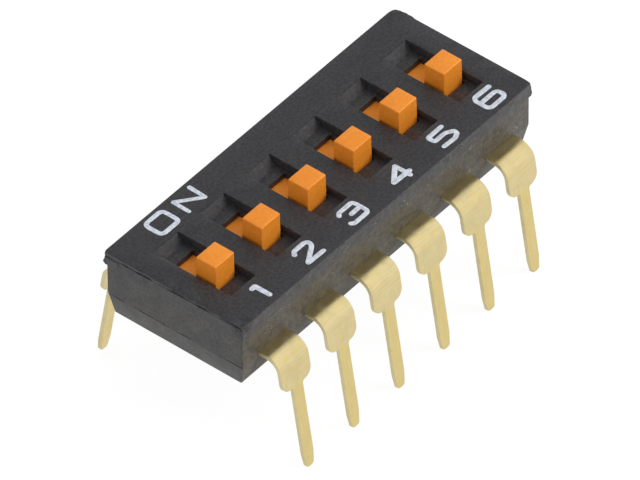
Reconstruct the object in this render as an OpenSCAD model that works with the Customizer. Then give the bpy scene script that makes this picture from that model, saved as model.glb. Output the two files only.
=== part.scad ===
// Dip switch with six slide positions, raised actuators and two rows of through-hole terminals.
// Millimetres. X runs along the row of switches, Y runs across it towards the ON side, Z is up.
// Z is 0 at the tips of the terminals, and the origin is centred between the two rows.
// The sliders are drawn at the number side, which is OFF.

/* [Body] */
// Distance from one switch to the next
pitch = 2.54; // [2.45:0.01:2.8]
// Distance from the last switch's centre to the end of the cover
end_margin = 1.72; // [1.5:0.01:2.5]
// Width of the cover across the rows
body_width = 6.26; // [5.9:0.01:7.2]
// Height of the body from its underside to the top of the cover
body_height = 2.97; // [2.8:0.01:3.6]
// Radius of the body's upright corners
corner_radius = 0.06; // [0.04:0.01:0.3]
// Height of the waist above the underside, below which the base leans in
waist_height = 1.00; // [0.6:0.05:1.4]
// How far each end leans in below the waist
end_taper = 0.16; // [0.05:0.01:0.3]
// How far each long side leans in below the waist
side_taper = 0.20; // [0.05:0.01:0.3]
// Thickness of the base's long walls
side_wall = 0.55; // [0.45:0.01:0.7]
// Width of the well that each slider runs in
well_width = 1.90; // [1.8:0.01:2.1]

/* [Cover] */
// Depth of the cover's edge as seen from outside
edge_depth = 0.58; // [0.4:0.01:0.62]
// How far the cover's edge stands out past the base
overhang = 0.05; // [0.01:0.01:0.1]
// Width of a window, along the row
window_width = 1.35; // [1.25:0.01:1.5]
// Length of a window at the top of the cover
window_length = 3.51; // [3.3:0.01:4]
// Depth of the floor round the slot in a window
floor_depth = 0.30; // [0.26:0.01:0.4]
// Thickness of that floor
floor_thickness = 0.34; // [0.3:0.01:0.4]
// Length of the bar on the ON side of the slot, with the end of the window open beyond it
bar_length = 0.52; // [0.3:0.01:0.65]
// Gap round the part of the cover that drops into the base
cover_clearance = 0.03; // [0.01:0.01:0.05]

/* [Sliders] */
// Width of a knob, along the row
knob_width = 1.07; // [0.95:0.01:1.15]
// Length of a knob, across the row
knob_length = 0.93; // [0.8:0.01:1.1]
// Height of a knob above the top of the cover
knob_rise = 0.73; // [0.4:0.01:1.2]
// How much narrower each side of a knob is at its top
knob_draft = 0.02; // [0.01:0.01:0.06]
// Distance that a slider moves from OFF to ON
travel = 0.98; // [0.8:0.01:1.1]
// Gap between a knob and its slot on each side
slot_clearance = 0.05; // [0.03:0.01:0.08]
// Thickness of the plate that runs under the cover
plate_thickness = 0.69; // [0.6:0.01:0.75]
// Room between the plate and the base's long wall at either end of the travel
plate_end_room = 0.42; // [0.1:0.01:0.5]
// Gap between the plate and each wall of its well
plate_clearance = 0.05; // [0.03:0.01:0.08]
// Radius of the peg that holds the contact under the plate
peg_radius = 0.20; // [0.12:0.01:0.22]
// How far the peg's end stands out below the contact
peg_end = 0.06; // [0.03:0.01:0.1]

/* [Moving contacts] */
// Height of the room for a moving contact, from the terminals up to the plate
contact_room = 0.52; // [0.48:0.01:0.6]
// Width of a moving contact
contact_width = 0.90; // [0.8:0.01:1]
// Thickness of a moving contact
contact_thickness = 0.10; // [0.08:0.01:0.12]
// Distance between the two places where a moving contact touches
contact_span = 1.90; // [1.8:0.01:2]
// Length of the flat in the middle of a moving contact
contact_flat = 0.80; // [0.7:0.01:0.9]
// Radius of the curve at each touching place
contact_curve = 0.20; // [0.15:0.01:0.25]
// Width of the slit that parts the two fingers at each end
slit_width = 0.16; // [0.1:0.01:0.25]
// Gap drawn between a moving contact and the terminals
contact_gap = 0.03; // [0.02:0.01:0.05]
// Gap round the peg in the contact's hole
peg_clearance = 0.02; // [0.01:0.01:0.03]

/* [Terminals] */
// Thickness of the terminal strip
strip_thickness = 0.18; // [0.15:0.01:0.3]
// Width of a terminal where it leaves the body and over its shoulder
shoulder_width = 1.55; // [1.5:0.01:1.7]
// Length of the straight stretch between the base and the bend
exit_length = 0.31; // [0.2:0.01:0.8]
// Radius of the bend on its inner side
bend_radius = 0.52; // [0.2:0.01:0.6]
// Angle by which the legs spread outwards
flare = 8.5; // [0:0.5:12]
// Height of the underside above the shoulders, which sit on the board
stand_off = 0.36; // [0.2:0.01:0.8]
// Distance from the underside of the body to the tips
reach = 4.02; // [3.5:0.01:5]
// Radius of the shoulder's lower corners
shoulder_radius = 0.38; // [0.1:0.01:0.4]
// Radius of the inside corner between shoulder and pin
root_radius = 0.10; // [0.04:0.01:0.12]
// Width of a pin
pin_width = 0.53; // [0.4:0.01:0.56]
// Length of the narrowing at the end of a pin
tip_length = 0.60; // [0.4:0.01:1]
// Width of a pin at its tip
tip_width = 0.36; // [0.25:0.01:0.38]
// Radius of the tip's corners
tip_radius = 0.10; // [0.05:0.01:0.12]
// Width of the pad that a terminal ends in under the slider
pad_width = 1.10; // [1:0.01:1.3]
// How far a number-side pad reaches past the contact's innermost place
pad_lap = 0.30; // [0.2:0.01:0.4]
// Depth of the notches that anchor a terminal in the wall
notch_depth = 0.12; // [0.05:0.01:0.2]
// Length of those notches along the strip
notch_length = 0.22; // [0.1:0.01:0.3]

/* [Hidden] */

positions = 6;
// Straight pieces in each rounded corner and bend
corner_steps = 4;
bend_steps = 10;
// How far a cut reaches past the face that it opens
cut = 0.2;
hole_sides = 32;

plastic_black = [0.13, 0.13, 0.14];
plastic_dark = [0.10, 0.10, 0.11];
knob_orange = [0.93, 0.36, 0.05];
plated_gold = [0.83, 0.71, 0.42];
spring_gold = [0.80, 0.63, 0.30];

// Heights, from the tips up
underside_z = reach;
top_z = underside_z + body_height;
seam_z = top_z - edge_depth;
floor_top_z = top_z - floor_depth;
floor_bottom_z = floor_top_z - floor_thickness;
plate_bottom_z = floor_bottom_z - plate_thickness;
strip_top_z = plate_bottom_z - contact_room;
strip_bottom_z = strip_top_z - strip_thickness;
waist_z = underside_z + waist_height;
seat_z = underside_z - stand_off;

// Sizes in plan
cover_length = (positions - 1) * pitch + 2 * end_margin;
base_length = cover_length - 2 * overhang;
base_width = body_width - 2 * overhang;
cavity_length = (positions - 1) * pitch + well_width;
cavity_width = base_width - 2 * side_wall;

// Slider and slot
rest_y = -travel / 2;
slot_length = knob_length + travel + 2 * slot_clearance;
slot_width = knob_width + 2 * slot_clearance;
plate_length = cavity_width - travel - 2 * plate_end_room;
plate_width = well_width - 2 * plate_clearance;

// Where the inner ends of the terminals stop: the number side is always touched, the ON side only at ON
number_pad_end = pad_lap - (contact_span - travel) / 2;
on_pad_end = contact_span / 2;

// The bend and the leg of a terminal, measured outwards from the centre plane
wall_outer = base_width / 2;
wall_inner = cavity_width / 2;
bend_y = wall_outer + exit_length;
bend_outer_radius = bend_radius + strip_thickness;
bend_z = strip_top_z - bend_outer_radius;
leg_length = (bend_z + bend_radius * sin(flare)) / cos(flare);
leg_reach = bend_y + bend_outer_radius + leg_length * sin(flare);

function switch_x(number) = (number - (positions + 1) / 2) * pitch;

// Points along an arc
function arc(centre, radius, from, to, steps) = [
    for (i = [0 : steps])
        let (angle = from + (to - from) * i / steps)
            centre + radius * [cos(angle), sin(angle)]
];

// Corners of a rounded rectangle about the origin
function rounded(length, width, radius) = let (x = length / 2 - radius, y = width / 2 - radius) concat(
    arc([x, y], radius, 0, 90, corner_steps),
    arc([-x, y], radius, 90, 180, corner_steps),
    arc([-x, -y], radius, 180, 270, corner_steps),
    arc([x, -y], radius, 270, 360, corner_steps)
);

function mirrored(points) = [for (i = [len(points) - 1 : -1 : 0]) [-points[i][0], points[i][1]]];

function along(from, to) = (to - from) / norm(to - from);
function square_to(direction) = [-direction[1], direction[0]];

// Offset of a path's point that keeps a bent strip equally thick
function mitre(path, i) =
    let (
        before = square_to(along(path[max(i - 1, 0)], path[max(i, 1)])),
        after = square_to(along(path[min(i, len(path) - 2)], path[min(i + 1, len(path) - 1)])),
        middle = (before + after) / norm(before + after)
    )
    middle / (middle * before);

// Outline of a strip of even thickness that follows a path
function ribbon(path, thickness) = concat(
    [for (i = [0 : len(path) - 1]) path[i] + mitre(path, i) * thickness / 2],
    [for (i = [len(path) - 1 : -1 : 0]) path[i] - mitre(path, i) * thickness / 2]
);

// Draws an outline in the plane across the row, as thick along X as the width
module across(width, outline)
    rotate([90, 0, 90]) linear_extrude(width, center = true) polygon(outline);

// Flange that shows from outside and the part that drops into the base
module cover_blank() {
    translate([0, 0, seam_z])
        linear_extrude(edge_depth) polygon(rounded(cover_length, body_width, corner_radius));
    cover_insert(cover_clearance, seam_z);
}

// The dropped part of the cover up to a height, or the room for it in the base where the gap is nought
module cover_insert(gap, up_to) {
    length = cavity_length - 2 * gap;
    width = cavity_width - 2 * gap;
    translate([-length / 2, -width / 2, floor_bottom_z])
        cube([length, width, up_to - floor_bottom_z]);
}

// Window with its sunken floor, the slot, the bar past it and the opening beyond the bar
module window_cut() {
    half_window = window_length / 2;
    bar_end = slot_length / 2 + bar_length;
    across(window_width, [
        [-half_window, top_z + cut],
        [-half_window, floor_top_z],
        [bar_end, floor_top_z],
        [bar_end, floor_bottom_z - cut],
        [half_window, floor_bottom_z - cut],
        [half_window, top_z + cut]
    ]);
    translate([0, 0, (floor_top_z + floor_bottom_z) / 2])
        cube([slot_width, slot_length, floor_thickness + 2 * cut], center = true);
}

module cover()
    color(plastic_black) difference() {
        cover_blank();
        for (number = [1 : positions])
            translate([switch_x(number), 0, 0]) window_cut();
    }

// Upright walls above the waist, walls that lean in below it
module base_blank() {
    outline = rounded(base_length, base_width, corner_radius);
    translate([0, 0, waist_z]) linear_extrude(seam_z - waist_z) polygon(outline);
    translate([0, 0, waist_z]) mirror([0, 0, 1])
        linear_extrude(waist_height, scale = [
            1 - 2 * end_taper / base_length,
            1 - 2 * side_taper / base_width
        ]) polygon(outline);
}

module base()
    color(plastic_dark) difference() {
        base_blank();
        cover_insert(0, seam_z + cut);
        for (number = [1 : positions])
            translate([switch_x(number), 0, 0]) {
                translate([0, 0, strip_top_z]) linear_extrude(seam_z - strip_top_z)
                    square([well_width, cavity_width], center = true);
                terminal_strip(on_pad_end);
                rotate([0, 0, 180]) terminal_strip(-number_pad_end);
            }
    }

// Level part of a terminal, from its pad in the well through the anchored stretch in the wall
module terminal_strip(pad_end) {
    pad = pad_width / 2;
    wide = shoulder_width / 2;
    notch_y = (wall_inner + wall_outer - notch_length) / 2;
    half_outline = [
        [pad, pad_end],
        [pad, wall_inner - notch_depth],
        [wide, wall_inner],
        [wide, notch_y],
        [wide - notch_depth, notch_y],
        [wide - notch_depth, notch_y + notch_length],
        [wide, notch_y + notch_length],
        [wide, wall_outer]
    ];
    translate([0, 0, strip_bottom_z]) linear_extrude(strip_thickness)
        polygon(concat(half_outline, mirrored(half_outline)));
}

// Strip seen from the end of the row: the stretch outside the wall, the bend and the spread leg
function leg_profile() =
    let (
        centre = [bend_y, bend_z],
        outward = [cos(flare), sin(flare)],
        downward = [sin(flare), -cos(flare)]
    )
    concat(
        [[wall_outer, strip_top_z]],
        arc(centre, bend_outer_radius, 90, flare, bend_steps),
        [centre + bend_outer_radius * outward + leg_length * downward],
        [centre + bend_radius * outward + leg_length * downward],
        arc(centre, bend_radius, flare, 90, bend_steps),
        [[wall_outer, strip_bottom_z]]
    );

// Right half of the leg seen from the side of the row: shoulder, pin and narrowed tip
function leg_half_outline() =
    let (
        wide = shoulder_width / 2,
        pin = pin_width / 2,
        tip = tip_width / 2
    )
    concat(
        [[wide, top_z]],
        arc([wide - shoulder_radius, seat_z + shoulder_radius], shoulder_radius, 0, -90, corner_steps),
        arc([pin + root_radius, seat_z - root_radius], root_radius, 90, 180, corner_steps),
        [[pin, tip_length]],
        arc([tip - tip_radius, tip_radius], tip_radius, 0, -90, corner_steps)
    );

module terminal_leg() {
    half_outline = leg_half_outline();
    intersection() {
        across(shoulder_width, leg_profile());
        translate([0, leg_reach + cut, 0]) rotate([90, 0, 0])
            linear_extrude(leg_reach + 2 * cut - wall_outer)
                polygon(concat(half_outline, mirrored(half_outline)));
    }
}

module terminal_on(number)
    color(plated_gold) translate([switch_x(number), 0, 0]) {
        terminal_strip(on_pad_end);
        terminal_leg();
    }

module terminal_number(number)
    color(plated_gold) translate([switch_x(number), 0, 0]) rotate([0, 0, 180]) {
        terminal_strip(-number_pad_end);
        terminal_leg();
    }

// Drafted knob, the plate that closes the slot from below and the peg for the contact
module slider(number)
    color(knob_orange) translate([switch_x(number), rest_y, 0]) {
        translate([0, 0, floor_bottom_z])
            linear_extrude(top_z + knob_rise - floor_bottom_z, scale = [
                1 - 2 * knob_draft / knob_width,
                1 - 2 * knob_draft / knob_length
            ]) square([knob_width, knob_length], center = true);
        translate([0, 0, floor_bottom_z - plate_thickness / 2])
            cube([plate_width, plate_length, plate_thickness], center = true);
        translate([0, 0, plate_bottom_z - contact_thickness - peg_end])
            cylinder(r = peg_radius, h = contact_thickness + peg_end + plate_thickness / 2, $fn = hole_sides);
    }

// Half of the path that the moving contact's middle layer follows, from the centre outwards
function contact_half_path() =
    let (
        flat_z = plate_bottom_z - contact_thickness / 2,
        curve_middle = contact_curve - contact_thickness / 2,
        centre = [contact_span / 2, strip_top_z + contact_gap + contact_curve]
    )
    concat(
        [[contact_flat / 2, flat_z]],
        arc(centre, curve_middle, -130, -50, corner_steps),
        [centre + curve_middle * [cos(-50), sin(-50)] + contact_curve * [cos(40), sin(40)]]
    );

module contact(number)
    color(spring_gold) translate([switch_x(number), rest_y, 0]) difference() {
        across(contact_width, ribbon(concat(mirrored(contact_half_path()), contact_half_path()), contact_thickness));
        translate([0, 0, strip_top_z])
            cylinder(r = peg_radius + peg_clearance, h = plate_bottom_z - strip_top_z + cut, $fn = hole_sides);
        for (side = [-1, 1])
            translate([0, side * (contact_flat + contact_span) / 2, strip_top_z])
                cube([slit_width, contact_span, 2 * (plate_bottom_z - strip_top_z)], center = true);
    }

cover();
base();
slider(1);  // slider_1
slider(2);  // slider_2
slider(3);  // slider_3
slider(4);  // slider_4
slider(5);  // slider_5
slider(6);  // slider_6
contact(1);  // contact_1
contact(2);  // contact_2
contact(3);  // contact_3
contact(4);  // contact_4
contact(5);  // contact_5
contact(6);  // contact_6
terminal_number(1);  // terminal_number_1
terminal_number(2);  // terminal_number_2
terminal_number(3);  // terminal_number_3
terminal_number(4);  // terminal_number_4
terminal_number(5);  // terminal_number_5
terminal_number(6);  // terminal_number_6
terminal_on(1);  // terminal_on_1
terminal_on(2);  // terminal_on_2
terminal_on(3);  // terminal_on_3
terminal_on(4);  // terminal_on_4
terminal_on(5);  // terminal_on_5
terminal_on(6);  // terminal_on_6
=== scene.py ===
"""Looks of a six-position dip switch with raised orange knobs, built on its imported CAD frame.

Lengths are in millimetres until a mesh is finished, and in metres after that. X runs along the
row of switches, Y runs across it towards the ON side, and Z is up from the terminals' tips.
"""

import logging
import math
from collections.abc import Callable, Iterable
from dataclasses import dataclass, field
from enum import Enum

import bmesh
import bpy
from mathutils import Matrix, Vector, noise

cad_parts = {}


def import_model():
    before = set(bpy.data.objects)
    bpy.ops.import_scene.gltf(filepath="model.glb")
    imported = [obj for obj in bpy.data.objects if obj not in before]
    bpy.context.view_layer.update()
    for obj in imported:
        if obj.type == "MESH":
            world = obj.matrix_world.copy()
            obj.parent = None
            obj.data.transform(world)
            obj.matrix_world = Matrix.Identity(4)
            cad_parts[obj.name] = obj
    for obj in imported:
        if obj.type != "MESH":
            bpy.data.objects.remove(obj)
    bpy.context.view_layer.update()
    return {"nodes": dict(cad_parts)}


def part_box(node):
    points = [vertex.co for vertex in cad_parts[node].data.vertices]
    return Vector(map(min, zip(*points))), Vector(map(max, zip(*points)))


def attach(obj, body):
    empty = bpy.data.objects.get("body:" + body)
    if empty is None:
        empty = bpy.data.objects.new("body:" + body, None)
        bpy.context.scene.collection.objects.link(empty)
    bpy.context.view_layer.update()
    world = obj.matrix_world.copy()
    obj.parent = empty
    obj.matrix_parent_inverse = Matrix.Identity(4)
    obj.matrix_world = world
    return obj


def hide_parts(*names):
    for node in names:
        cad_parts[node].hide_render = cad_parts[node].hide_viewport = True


LOG = logging.getLogger("dip_switch")
MM = 0.001
HOUSING = "housing"

# Tolerances in millimetres: points that are one, points at one height, and points beside a plane
MERGE = 1e-5
SAME = 1e-4
BESIDE = 0.01
# Upright part of a level face's normal
LEVEL = 0.99

Mesh = bmesh.types.BMesh
Vert = bmesh.types.BMVert
Edge = bmesh.types.BMEdge
Face = bmesh.types.BMFace
Piece = bpy.types.Object
Material = bpy.types.Material
Node = bpy.types.Node
Socket = bpy.types.NodeSocket
Colour = tuple[float, float, float, float]
Point = tuple[float, float]
Test = Callable[[Vector], bool]
Inputs = dict[str | int, object]


# Mesh helpers: each works on a bmesh in millimetres


def block(low: Vector, high: Vector) -> Mesh:
    """A box between two corners.

    Args:
        low: lowest corner.
        high: highest corner.

    Returns:
        A new bmesh that holds the box.
    """
    bm = bmesh.new()
    bmesh.ops.create_cube(bm, size=1)
    bmesh.ops.scale(bm, vec=high - low, verts=bm.verts)
    bmesh.ops.translate(bm, vec=(low + high) / 2, verts=bm.verts)
    return bm


def cut(bm: Mesh, geometry: list[Vert | Edge | Face], axis: int, place: float) -> None:
    """Cuts part of a mesh along one plane and removes nothing.

    Args:
        bm: the mesh to cut.
        geometry: its points, edges and faces that may be cut.
        axis: 0, 1 or 2 for a plane square to X, Y or Z.
        place: where the plane stands on that axis.
    """
    normal = Vector((0, 0, 0))
    normal[axis] = 1
    bmesh.ops.bisect_plane(
        bm, geom=geometry, dist=MERGE, plane_co=normal * place, plane_no=normal
    )


def slice_at(bm: Mesh, axis: int, places: Iterable[float]) -> None:
    """Cuts every face that crosses the given planes.

    Args:
        bm: the mesh to cut.
        axis: 0, 1 or 2 for planes square to X, Y or Z.
        places: where each plane stands on that axis.
    """
    for place in places:
        cut(bm, bm.verts[:] + bm.edges[:] + bm.faces[:], axis, place)


def slice_faces(
    bm: Mesh, axis: int, places: Iterable[float], pick: Callable[[Face], bool]
) -> None:
    """Cuts only the faces that a test picks.

    Args:
        bm: the mesh to cut.
        axis: 0, 1 or 2 for planes square to X, Y or Z.
        places: where each plane stands on that axis.
        pick: says whether a face is cut.
    """
    for place in places:
        bm.normal_update()
        faces = [f for f in bm.faces if pick(f)]
        verts = sorted({v for f in faces for v in f.verts}, key=index)
        edges = sorted({e for f in faces for e in f.edges}, key=index)
        cut(bm, [*verts, *edges, *faces], axis, place)
        bm.verts.index_update()
        bm.edges.index_update()


def index(item: Vert | Edge) -> int:
    """Number of a point or edge in its mesh."""
    return item.index


def even(low: float, high: float, step: float) -> list[float]:
    """Places between two ends, a step apart."""
    return [low + step * (i + 0.5) for i in range(int((high - low) / step))]


def push(bm: Mesh, facing: float, test: Test, height: float) -> None:
    """Extrudes the level faces that pass a test up or down to a height.

    Args:
        bm: the mesh to work on.
        facing: 1 for faces that look up, -1 for faces that look down.
        test: says by a face's centre whether it moves.
        height: the Z that the faces end at.
    """
    bm.normal_update()
    faces = [f for f in bm.faces if f.normal.z * facing > LEVEL and test(f.calc_center_median())]
    made = bmesh.ops.extrude_face_region(bm, geom=faces)
    bmesh.ops.delete(bm, geom=faces, context="FACES")
    for item in made["geom"]:
        if isinstance(item, Vert):
            item.co.z = height


def open_through(bm: Mesh, test: Test) -> None:
    """Joins the upper and lower level faces that pass a test by a hole.

    Args:
        bm: the mesh to work on.
        test: says by a face's centre whether it is part of the hole.
    """
    bm.normal_update()
    faces = [f for f in bm.faces if abs(f.normal.z) > LEVEL and test(f.calc_center_median())]
    rims = [e for e in bm.edges if sum(f in faces for f in e.link_faces) == 1]
    bmesh.ops.delete(bm, geom=faces, context="FACES")
    bmesh.ops.bridge_loops(bm, edges=rims)


def bevel(bm: Mesh, geometry: list[Vert] | list[Edge], radius: float, steps: int) -> None:
    """Rounds edges of a solid, or corners of a flat outline.

    Args:
        bm: the mesh to work on.
        geometry: its edges, or its corners.
        radius: radius of the rounding.
        steps: straight pieces in the rounding.
    """
    corners = bool(geometry) and isinstance(geometry[0], Vert)
    bmesh.ops.bevel(
        bm,
        geom=geometry,
        offset=radius,
        offset_type="OFFSET",
        segments=steps,
        profile=0.5,
        affect="VERTICES" if corners else "EDGES",
        material=-1,
        clamp_overlap=True,
        loop_slide=not corners,
    )


def round_edges(bm: Mesh, radius: float, steps: int, pick: Callable[[Edge], bool]) -> None:
    """Rounds the creased edges that a test picks.

    Args:
        bm: the mesh to work on.
        radius: radius of the rounding.
        steps: straight pieces in the rounding.
        pick: says whether an edge is rounded.
    """
    crease = 0.3
    edges = [e for e in bm.edges if e.is_manifold and e.calc_face_angle(0) > crease and pick(e)]
    bevel(bm, edges, radius, steps)


def ends(edge: Edge) -> tuple[Vector, Vector]:
    """Both ends of an edge."""
    return edge.verts[0].co, edge.verts[1].co


def is_upright(edge: Edge) -> bool:
    """Whether an edge runs along Z."""
    a, b = ends(edge)
    return abs(a.x - b.x) + abs(a.y - b.y) < SAME


def is_level_at(edge: Edge, height: float) -> bool:
    """Whether both ends of an edge lie at a height."""
    return all(abs(p.z - height) < SAME for p in ends(edge))


def is_convex(edge: Edge) -> bool:
    """Whether the two faces of an edge turn away from each other."""
    return edge.is_manifold and edge.calc_face_angle_signed(0) > 0


def make_piece(bm: Mesh, name: str, material: Material, sharp: float = 35) -> Piece:
    """Turns a bmesh in millimetres into a shaded object in metres.

    Args:
        bm: the mesh, which is freed.
        name: name of the new piece.
        material: its material.
        sharp: angle in degrees over which an edge stays sharp.

    Returns:
        The new object, at the origin.
    """
    bmesh.ops.remove_doubles(bm, verts=bm.verts, dist=MERGE)
    bmesh.ops.recalc_face_normals(bm, faces=bm.faces)
    bmesh.ops.scale(bm, vec=(MM, MM, MM), verts=bm.verts)
    mesh = bpy.data.meshes.new(name)
    bm.to_mesh(mesh)
    bm.free()
    return add_piece(mesh, name, material, sharp)


def add_piece(mesh: bpy.types.Mesh, name: str, material: Material, sharp: float) -> Piece:
    """Links a finished mesh to the scene.

    Args:
        mesh: the mesh, in metres and in place.
        name: name of the new piece.
        material: its material.
        sharp: angle in degrees over which an edge stays sharp.

    Returns:
        The new object, at the origin.
    """
    mesh.shade_smooth()
    mesh.set_sharp_from_angle(angle=math.radians(sharp))
    mesh.materials.clear()
    mesh.materials.append(material)
    piece = bpy.data.objects.new(name, mesh)
    bpy.context.scene.collection.objects.link(piece)
    weighted = piece.modifiers.new("even_shading", "WEIGHTED_NORMAL")
    weighted.keep_sharp = True
    return piece


def box_mm(node: str) -> tuple[Vector, Vector]:
    """Lowest and highest corner of a CAD node, in millimetres."""
    low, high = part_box(node)
    return low / MM, high / MM


# Node helpers


class Graph:
    """Adds nodes to a node tree and links them.

    Args:
        tree: the node tree to fill.
    """

    def __init__(self, tree: bpy.types.NodeTree) -> None:
        """Starts at the left of an empty tree."""
        self.tree = tree
        self.made = 0

    def node(self, kind: str, inputs: Inputs | None = None, **settings: object) -> Node:
        """Adds one node.

        Args:
            kind: Blender's name for the node's type.
            inputs: socket name or number, with the value or the output that feeds it.
            settings: properties of the node itself.

        Returns:
            The new node.
        """
        node = self.tree.nodes.new(kind)
        row, column = divmod(self.made, 12)
        node.location = (190 * column, -320 * row)
        self.made += 1
        for name, value in settings.items():
            setattr(node, name, value)
        self.feed(node, inputs or {})
        return node

    def feed(self, node: Node, inputs: Inputs) -> None:
        """Links or sets some of a node's inputs.

        Args:
            node: the node to feed.
            inputs: socket name or number, with the value or the output that feeds it.
        """
        for key, value in inputs.items():
            if isinstance(value, Socket):
                self.tree.links.new(value, node.inputs[key])
            else:
                node.inputs[key].default_value = value

    def math(self, operation: str, *values: object, clamp: bool = False) -> Socket:
        """Output of a Math node with the given operation and inputs."""
        inputs = dict(enumerate(values))
        return self.node("ShaderNodeMath", inputs, operation=operation, use_clamp=clamp).outputs[0]

    def product(self, a: object, b: object, clamp: bool = False) -> Socket:
        """One value times another."""
        return self.math("MULTIPLY", a, b, clamp=clamp)

    def total(self, a: object, b: object, clamp: bool = False) -> Socket:
        """Two values together."""
        return self.math("ADD", a, b, clamp=clamp)

    def vector(self, operation: str, a: object, b: object) -> Node:
        """A Vector Math node."""
        return self.node("ShaderNodeVectorMath", {0: a, 1: b}, operation=operation)

    def axis(self, vector: Socket, number: int) -> Socket:
        """X, Y or Z of a vector, by its number from 0."""
        return self.node("ShaderNodeSeparateXYZ", {0: vector}).outputs[number]

    def noise(self, vector: object, scale: object, detail: float, roughness: float = 0.5) -> Socket:
        """Height of a Noise Texture at the given scale."""
        inputs = {"Vector": vector, "Scale": scale, "Detail": detail, "Roughness": roughness}
        return self.node("ShaderNodeTexNoise", inputs).outputs[0]

    def remap(
        self, value: Socket, low: object, high: object, to_low: object = 0.0, to_high: object = 1.0
    ) -> Socket:
        """A value taken smoothly from one range to another."""
        inputs = {0: value, 1: low, 2: high, 3: to_low, 4: to_high}
        return self.node("ShaderNodeMapRange", inputs, interpolation_type="SMOOTHSTEP").outputs[0]

    def blend(self, share: object, a: object, b: object) -> Socket:
        """Colour between two colours.

        Args:
            share: how much of the second colour.
            a: first colour.
            b: second colour.

        Returns:
            The mixed colour.
        """
        inputs = {0: share, 6: a, 7: b}
        return self.node("ShaderNodeMix", inputs, data_type="RGBA", clamp_factor=True).outputs[2]

    def lay(self, base: object, mask: Socket, share: object, colour: Colour) -> Socket:
        """A colour laid over another through a mask, at most by a share."""
        return self.blend(self.product(mask, share), base, colour)

    def relief(self, height: Socket, depth: float) -> Socket:
        """Normal of a surface whose height varies by a depth in millimetres."""
        inputs = {"Height": height, "Distance": depth * MM, "Strength": 1.0}
        return self.node("ShaderNodeBump", inputs).outputs[0]


class Effect(Enum):
    """Effects that more than one material uses, each a shader node group."""

    GRAIN = "moulded_grain"
    DUST = "dust_specks"
    WEAR = "edge_wear"
    SCUFF = "dry_scuffs"
    CLOUD = "soft_clouds"


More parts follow.
